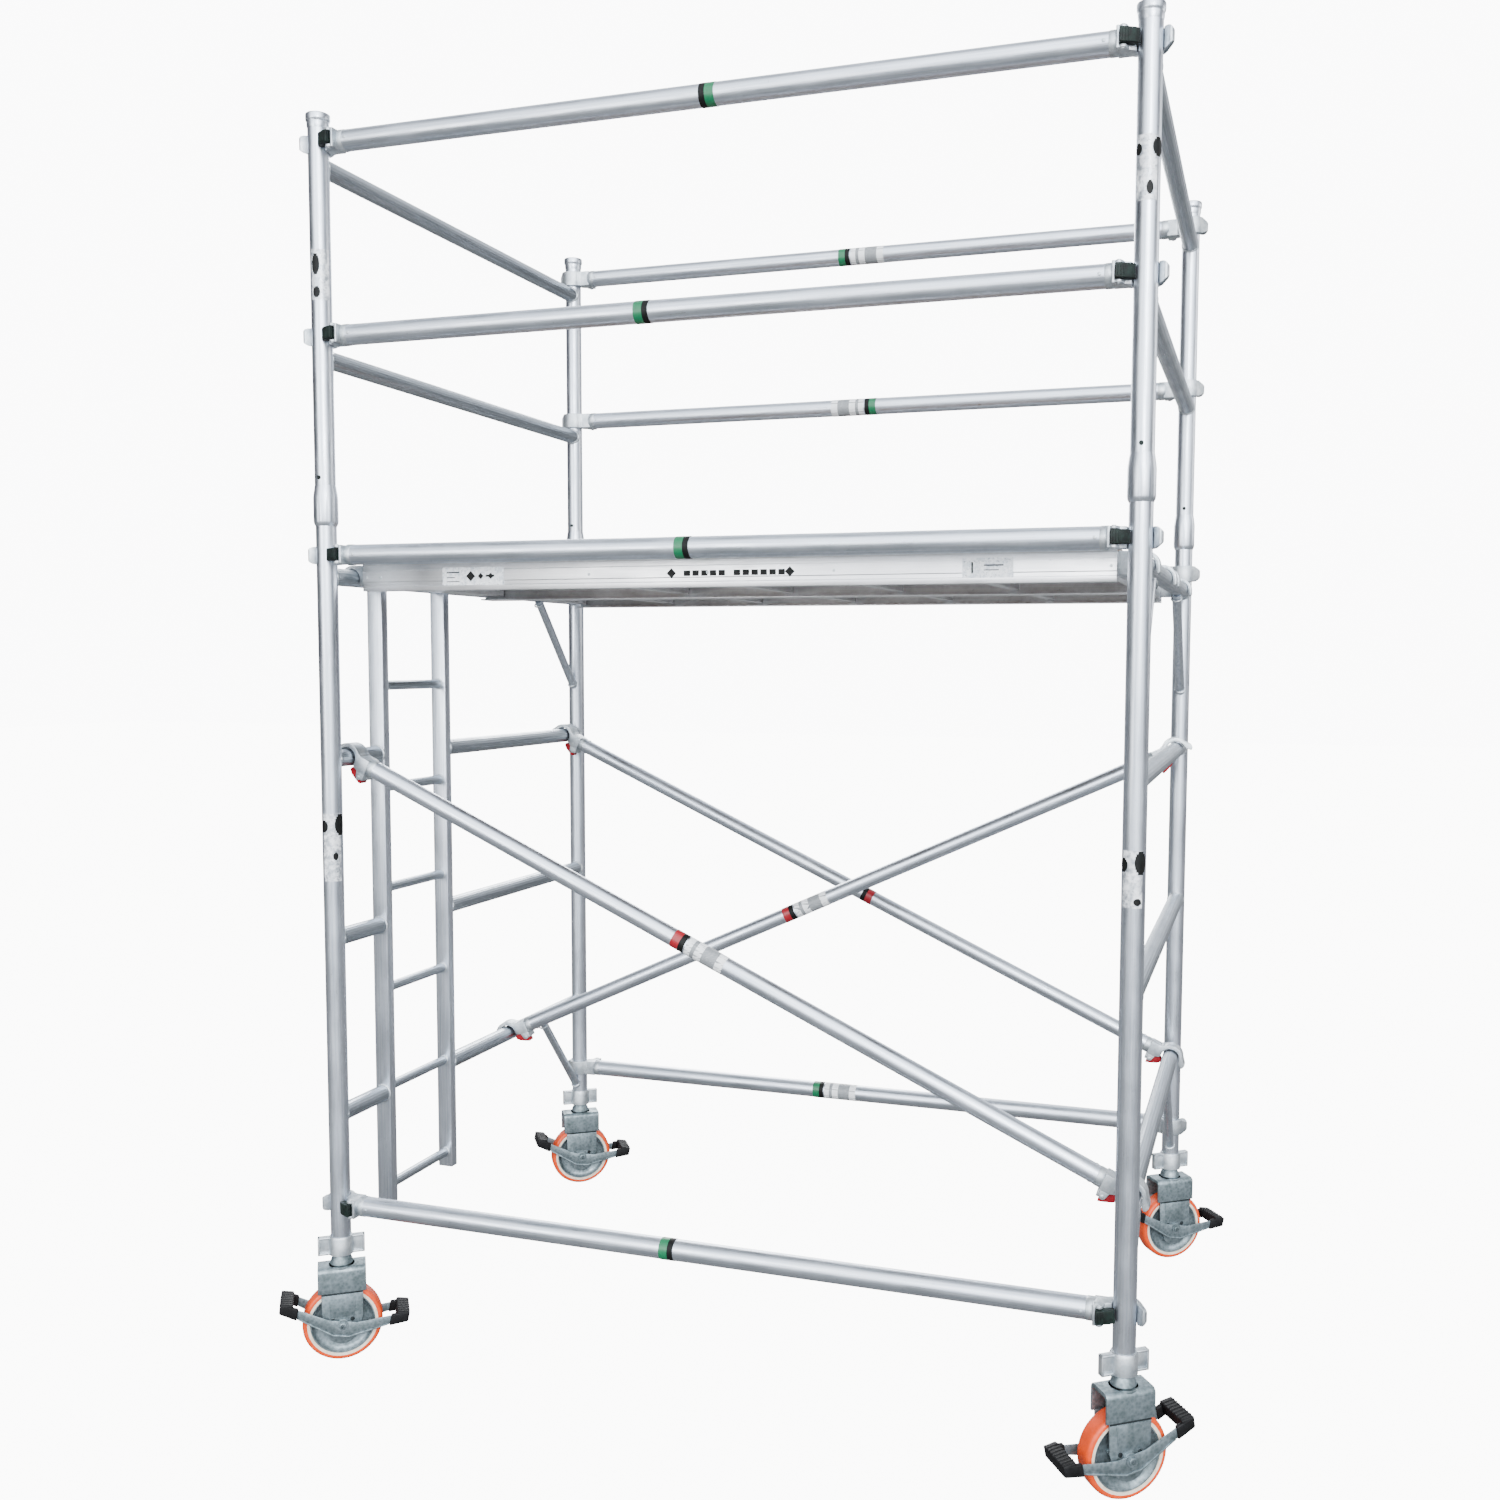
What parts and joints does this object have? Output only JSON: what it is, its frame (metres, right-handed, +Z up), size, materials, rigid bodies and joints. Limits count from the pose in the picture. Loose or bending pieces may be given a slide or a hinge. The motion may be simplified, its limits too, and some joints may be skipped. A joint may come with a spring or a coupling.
{
  "type": "mobile scaffold tower section",
  "caption": "Wheeled aluminium scaffold bay: ladder and end frames, clip-on rails and diagonals, decks with a trapdoor, guard rails and braked castors on screw legs.",
  "frame": {"origin": "on the floor, under the middle of the tower", "axes": "+X along the bay from the ladder frame to the end frame, +Y from the front face to the back face, +Z up"},
  "size_m": [2.3179, 1.6254, 3.15],
  "materials": {
    "tube_aluminium": "drawn tube, satin, lightly scuffed",
    "deck": "film-faced plywood board in a satin aluminium frame",
    "trapdoor": "film-faced plywood",
    "trigger_black": "moulded black nylon",
    "trigger_red": "moulded red nylon",
    "cast_alloy": "as cast, grey",
    "zinc_steel": "zinc plated, dull",
    "tread": "smooth orange polyurethane on a grey metal centre"
  },
  "bodies": {
    "tower": {"ladder_frame": "tube_aluminium", "end_frame": "tube_aluminium", "guard_frame_left": "tube_aluminium", "guard_frame_right": "tube_aluminium", "brace_front_base": "tube_aluminium", "brace_front_deck": "tube_aluminium", "brace_front_mid": "tube_aluminium", "brace_front_top": "tube_aluminium", "brace_back_base": "tube_aluminium", "brace_back_deck": "tube_aluminium", "brace_back_mid": "tube_aluminium", "brace_back_top": "tube_aluminium", "brace_diagonal_front": "tube_aluminium", "brace_diagonal_middle": "tube_aluminium", "brace_diagonal_back": "tube_aluminium", "deck_front": "deck", "deck_rear": "deck"},
    "trigger_front_base_left": {"trigger_front_base_left": "trigger_black"},
    "trigger_front_base_right": {"trigger_front_base_right": "trigger_black"},
    "trigger_front_deck_left": {"trigger_front_deck_left": "trigger_black"},
    "trigger_front_deck_right": {"trigger_front_deck_right": "trigger_black"},
    "trigger_front_mid_left": {"trigger_front_mid_left": "trigger_black"},
    "trigger_front_mid_right": {"trigger_front_mid_right": "trigger_black"},
    "trigger_front_top_left": {"trigger_front_top_left": "trigger_black"},
    "trigger_front_top_right": {"trigger_front_top_right": "trigger_black"},
    "trigger_back_base_left": {"trigger_back_base_left": "trigger_black"},
    "trigger_back_base_right": {"trigger_back_base_right": "trigger_black"},
    "trigger_back_deck_left": {"trigger_back_deck_left": "trigger_black"},
    "trigger_back_deck_right": {"trigger_back_deck_right": "trigger_black"},
    "trigger_back_mid_left": {"trigger_back_mid_left": "trigger_black"},
    "trigger_back_mid_right": {"trigger_back_mid_right": "trigger_black"},
    "trigger_back_top_left": {"trigger_back_top_left": "trigger_black"},
    "trigger_back_top_right": {"trigger_back_top_right": "trigger_black"},
    "trigger_diagonal_front_left": {"trigger_diagonal_front_left": "trigger_red"},
    "trigger_diagonal_front_right": {"trigger_diagonal_front_right": "trigger_red"},
    "trigger_diagonal_middle_left": {"trigger_diagonal_middle_left": "trigger_red"},
    "trigger_diagonal_middle_right": {"trigger_diagonal_middle_right": "trigger_red"},
    "trigger_diagonal_back_left": {"trigger_diagonal_back_left": "trigger_red"},
    "trigger_diagonal_back_right": {"trigger_diagonal_back_right": "trigger_red"},
    "trapdoor": {"trapdoor": "trapdoor"},
    "leg_front_left": {"leg_front_left": "zinc_steel"},
    "nut_front_left": {"nut_front_left": "cast_alloy"},
    "fork_front_left": {"fork_front_left": "zinc_steel"},
    "wheel_front_left": {"wheel_front_left": "tread"},
    "pedal_front_left": {"pedal_front_left": "zinc_steel"},
    "leg_front_right": {"leg_front_right": "zinc_steel"},
    "nut_front_right": {"nut_front_right": "cast_alloy"},
    "fork_front_right": {"fork_front_right": "zinc_steel"},
    "wheel_front_right": {"wheel_front_right": "tread"},
    "pedal_front_right": {"pedal_front_right": "zinc_steel"},
    "leg_back_left": {"leg_back_left": "zinc_steel"},
    "nut_back_left": {"nut_back_left": "cast_alloy"},
    "fork_back_left": {"fork_back_left": "zinc_steel"},
    "wheel_back_left": {"wheel_back_left": "tread"},
    "pedal_back_left": {"pedal_back_left": "zinc_steel"},
    "leg_back_right": {"leg_back_right": "zinc_steel"},
    "nut_back_right": {"nut_back_right": "cast_alloy"},
    "fork_back_right": {"fork_back_right": "zinc_steel"},
    "wheel_back_right": {"wheel_back_right": "tread"},
    "pedal_back_right": {"pedal_back_right": "zinc_steel"}
  },
  "joints": [
    {"name": "trigger_front_base_left_pivot", "type": "hinge", "parent": "tower", "child": "trigger_front_base_left", "pos_m": [-0.948, -0.706, 0.41], "axis": [0, 0, 1], "range_deg": [0, 15], "stiffness_Nm_per_rad": 0.5, "springref_deg": -5.73},
    {"name": "trigger_front_base_right_pivot", "type": "hinge", "parent": "tower", "child": "trigger_front_base_right", "pos_m": [0.948, -0.706, 0.41], "axis": [0, 0, -1], "range_deg": [0, 15], "stiffness_Nm_per_rad": 0.5, "springref_deg": -5.73},
    {"name": "trigger_front_deck_left_pivot", "type": "hinge", "parent": "tower", "child": "trigger_front_deck_left", "pos_m": [-0.948, -0.706, 2.077], "axis": [0, 0, 1], "range_deg": [0, 15], "stiffness_Nm_per_rad": 0.5, "springref_deg": -5.73},
    {"name": "trigger_front_deck_right_pivot", "type": "hinge", "parent": "tower", "child": "trigger_front_deck_right", "pos_m": [0.948, -0.706, 2.077], "axis": [0, 0, -1], "range_deg": [0, 15], "stiffness_Nm_per_rad": 0.5, "springref_deg": -5.73},
    {"name": "trigger_front_mid_left_pivot", "type": "hinge", "parent": "tower", "child": "trigger_front_mid_left", "pos_m": [-0.948, -0.706, 2.615], "axis": [0, 0, 1], "range_deg": [0, 15], "stiffness_Nm_per_rad": 0.5, "springref_deg": -5.73},
    {"name": "trigger_front_mid_right_pivot", "type": "hinge", "parent": "tower", "child": "trigger_front_mid_right", "pos_m": [0.948, -0.706, 2.615], "axis": [0, 0, -1], "range_deg": [0, 15], "stiffness_Nm_per_rad": 0.5, "springref_deg": -5.73},
    {"name": "trigger_front_top_left_pivot", "type": "hinge", "parent": "tower", "child": "trigger_front_top_left", "pos_m": [-0.948, -0.706, 3.08], "axis": [0, 0, 1], "range_deg": [0, 15], "stiffness_Nm_per_rad": 0.5, "springref_deg": -5.73},
    {"name": "trigger_front_top_right_pivot", "type": "hinge", "parent": "tower", "child": "trigger_front_top_right", "pos_m": [0.948, -0.706, 3.08], "axis": [0, 0, -1], "range_deg": [0, 15], "stiffness_Nm_per_rad": 0.5, "springref_deg": -5.73},
    {"name": "trigger_back_base_left_pivot", "type": "hinge", "parent": "tower", "child": "trigger_back_base_left", "pos_m": [-0.948, 0.706, 0.41], "axis": [0, 0, -1], "range_deg": [0, 15], "stiffness_Nm_per_rad": 0.5, "springref_deg": -5.73},
    {"name": "trigger_back_base_right_pivot", "type": "hinge", "parent": "tower", "child": "trigger_back_base_right", "pos_m": [0.948, 0.706, 0.41], "axis": [0, 0, 1], "range_deg": [0, 15], "stiffness_Nm_per_rad": 0.5, "springref_deg": -5.73},
    {"name": "trigger_back_deck_left_pivot", "type": "hinge", "parent": "tower", "child": "trigger_back_deck_left", "pos_m": [-0.948, 0.706, 2.077], "axis": [0, 0, -1], "range_deg": [0, 15], "stiffness_Nm_per_rad": 0.5, "springref_deg": -5.73},
    {"name": "trigger_back_deck_right_pivot", "type": "hinge", "parent": "tower", "child": "trigger_back_deck_right", "pos_m": [0.948, 0.706, 2.077], "axis": [0, 0, 1], "range_deg": [0, 15], "stiffness_Nm_per_rad": 0.5, "springref_deg": -5.73},
    {"name": "trigger_back_mid_left_pivot", "type": "hinge", "parent": "tower", "child": "trigger_back_mid_left", "pos_m": [-0.948, 0.706, 2.615], "axis": [0, 0, -1], "range_deg": [0, 15], "stiffness_Nm_per_rad": 0.5, "springref_deg": -5.73},
    {"name": "trigger_back_mid_right_pivot", "type": "hinge", "parent": "tower", "child": "trigger_back_mid_right", "pos_m": [0.948, 0.706, 2.615], "axis": [0, 0, 1], "range_deg": [0, 15], "stiffness_Nm_per_rad": 0.5, "springref_deg": -5.73},
    {"name": "trigger_back_top_left_pivot", "type": "hinge", "parent": "tower", "child": "trigger_back_top_left", "pos_m": [-0.948, 0.706, 3.08], "axis": [0, 0, -1], "range_deg": [0, 15], "stiffness_Nm_per_rad": 0.5, "springref_deg": -5.73},
    {"name": "trigger_back_top_right_pivot", "type": "hinge", "parent": "tower", "child": "trigger_back_top_right", "pos_m": [0.948, 0.706, 3.08], "axis": [0, 0, 1], "range_deg": [0, 15], "stiffness_Nm_per_rad": 0.5, "springref_deg": -5.73},
    {"name": "trigger_diagonal_front_left_pivot", "type": "hinge", "parent": "tower", "child": "trigger_diagonal_front_left", "pos_m": [-0.96571, -0.59, 1.51511], "axis": [0, -1, 0], "range_deg": [0, 15], "stiffness_Nm_per_rad": 0.5, "springref_deg": -5.73},
    {"name": "trigger_diagonal_front_right_pivot", "type": "hinge", "parent": "tower", "child": "trigger_diagonal_front_right", "pos_m": [0.9398, -0.59, 0.63857], "axis": [0, 1, 0], "range_deg": [0, 15], "stiffness_Nm_per_rad": 0.5, "springref_deg": -5.73},
    {"name": "trigger_diagonal_middle_left_pivot", "type": "hinge", "parent": "tower", "child": "trigger_diagonal_middle_left", "pos_m": [-0.9405, 0.20892, 0.63831], "axis": [0.1483, -0.9889, 0], "range_deg": [0, 15], "stiffness_Nm_per_rad": 0.5, "springref_deg": -5.73},
    {"name": "trigger_diagonal_middle_right_pivot", "type": "hinge", "parent": "tower", "child": "trigger_diagonal_middle_right", "pos_m": [0.96589, 0.49488, 1.51525], "axis": [-0.1483, 0.9889, 0], "range_deg": [0, 15], "stiffness_Nm_per_rad": 0.5, "springref_deg": -5.73},
    {"name": "trigger_diagonal_back_left_pivot", "type": "hinge", "parent": "tower", "child": "trigger_diagonal_back_left", "pos_m": [-0.96571, 0.59, 1.51511], "axis": [0, -1, 0], "range_deg": [0, 15], "stiffness_Nm_per_rad": 0.5, "springref_deg": -5.73},
    {"name": "trigger_diagonal_back_right_pivot", "type": "hinge", "parent": "tower", "child": "trigger_diagonal_back_right", "pos_m": [0.9398, 0.59, 0.63857], "axis": [0, 1, 0], "range_deg": [0, 15], "stiffness_Nm_per_rad": 0.5, "springref_deg": -5.73},
    {"name": "trapdoor_hinge", "type": "hinge", "parent": "tower", "child": "trapdoor", "pos_m": [-0.6, -0.5725, 2.066], "axis": [1, 0, 0], "range_deg": [0, 95]},
    {"name": "leg_front_left_extend", "type": "slide", "parent": "tower", "child": "leg_front_left", "axis": [0, 0, -1], "range_m": [0, 0.2]},
    {"name": "nut_front_left_turn", "type": "hinge", "parent": "tower", "child": "nut_front_left", "pos_m": [-1, -0.675, 0.301], "axis": [0, 0, 1], "continuous": true},
    {"name": "fork_front_left_swivel", "type": "hinge", "parent": "leg_front_left", "child": "fork_front_left", "pos_m": [-1, -0.675, 0.25], "axis": [0, 0, 1], "continuous": true},
    {"name": "wheel_front_left_roll", "type": "hinge", "parent": "fork_front_left", "child": "wheel_front_left", "pos_m": [-1, -0.675, 0.1], "axis": [-0.5878, 0.809, 0], "continuous": true},
    {"name": "pedal_front_left_rock", "type": "hinge", "parent": "fork_front_left", "child": "pedal_front_left", "pos_m": [-1, -0.675, 0.1], "axis": [-0.5878, 0.809, 0], "range_deg": [-22, 0]},
    {"name": "leg_front_right_extend", "type": "slide", "parent": "tower", "child": "leg_front_right", "axis": [0, 0, -1], "range_m": [0, 0.2]},
    {"name": "nut_front_right_turn", "type": "hinge", "parent": "tower", "child": "nut_front_right", "pos_m": [1, -0.675, 0.301], "axis": [0, 0, 1], "continuous": true},
    {"name": "fork_front_right_swivel", "type": "hinge", "parent": "leg_front_right", "child": "fork_front_right", "pos_m": [1, -0.675, 0.25], "axis": [0, 0, 1], "continuous": true},
    {"name": "wheel_front_right_roll", "type": "hinge", "parent": "fork_front_right", "child": "wheel_front_right", "pos_m": [1, -0.675, 0.1], "axis": [-0.5878, 0.809, 0], "continuous": true},
    {"name": "pedal_front_right_rock", "type": "hinge", "parent": "fork_front_right", "child": "pedal_front_right", "pos_m": [1, -0.675, 0.1], "axis": [-0.5878, 0.809, 0], "range_deg": [0, 22]},
    {"name": "leg_back_left_extend", "type": "slide", "parent": "tower", "child": "leg_back_left", "axis": [0, 0, -1], "range_m": [0, 0.2]},
    {"name": "nut_back_left_turn", "type": "hinge", "parent": "tower", "child": "nut_back_left", "pos_m": [-1, 0.675, 0.301], "axis": [0, 0, 1], "continuous": true},
    {"name": "fork_back_left_swivel", "type": "hinge", "parent": "leg_back_left", "child": "fork_back_left", "pos_m": [-1, 0.675, 0.25], "axis": [0, 0, 1], "continuous": true},
    {"name": "wheel_back_left_roll", "type": "hinge", "parent": "fork_back_left", "child": "wheel_back_left", "pos_m": [-1, 0.675, 0.1], "axis": [-0.5878, 0.809, 0], "continuous": true},
    {"name": "pedal_back_left_rock", "type": "hinge", "parent": "fork_back_left", "child": "pedal_back_left", "pos_m": [-1, 0.675, 0.1], "axis": [-0.5878, 0.809, 0], "range_deg": [-22, 0]},
    {"name": "leg_back_right_extend", "type": "slide", "parent": "tower", "child": "leg_back_right", "axis": [0, 0, -1], "range_m": [0, 0.2]},
    {"name": "nut_back_right_turn", "type": "hinge", "parent": "tower", "child": "nut_back_right", "pos_m": [1, 0.675, 0.301], "axis": [0, 0, 1], "continuous": true},
    {"name": "fork_back_right_swivel", "type": "hinge", "parent": "leg_back_right", "child": "fork_back_right", "pos_m": [1, 0.675, 0.25], "axis": [0, 0, 1], "continuous": true},
    {"name": "wheel_back_right_roll", "type": "hinge", "parent": "fork_back_right", "child": "wheel_back_right", "pos_m": [1, 0.675, 0.1], "axis": [-0.5878, 0.809, 0], "continuous": true},
    {"name": "pedal_back_right_rock", "type": "hinge", "parent": "fork_back_right", "child": "pedal_back_right", "pos_m": [1, 0.675, 0.1], "axis": [-0.5878, 0.809, 0], "range_deg": [-22, 0]}
  ]
}
